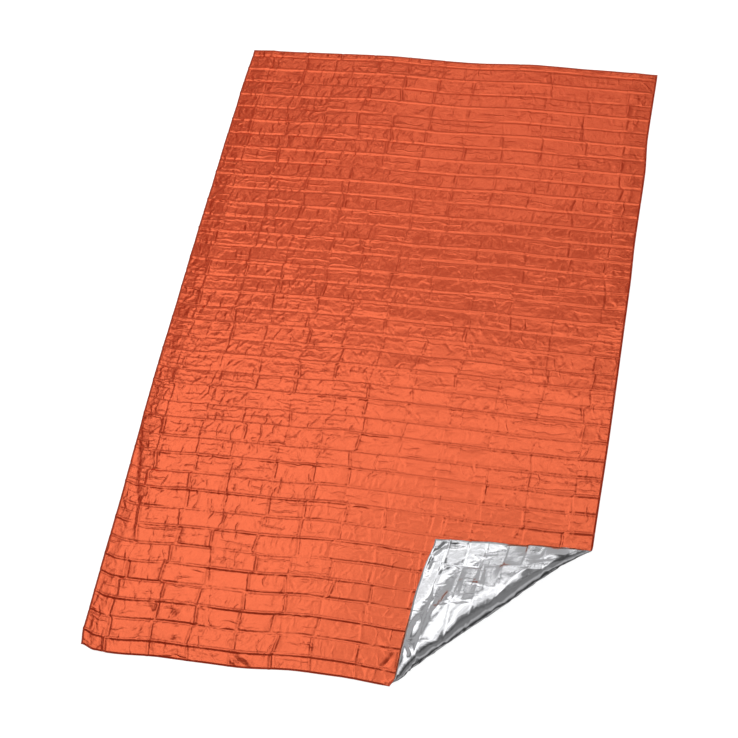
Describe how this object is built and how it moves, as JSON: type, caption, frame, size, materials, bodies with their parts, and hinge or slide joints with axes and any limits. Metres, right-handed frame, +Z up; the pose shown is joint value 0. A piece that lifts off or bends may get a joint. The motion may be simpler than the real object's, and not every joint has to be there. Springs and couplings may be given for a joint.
{
  "type": "emergency foil blanket",
  "caption": "Thin metallised film blanket, orange on top and silver below, laid flat with packing creases and one corner rolled back over it.",
  "frame": {"origin": "middle of the laid blanket's outline, at the level it lies on", "axes": "+Y along the blanket's long side away from the turned corner's end, +Z up, out of its orange face"},
  "size_m": [1.5421, 2.468, 0.0593],
  "materials": {
    "orange_film": "glossy orange face of a thin metallised film, creased",
    "silver_film": "bare metallised face of the same film, mirror-like, creased"
  },
  "bodies": {
    "root": {"foil_sheet": "orange_film"}
  },
  "joints": []
}
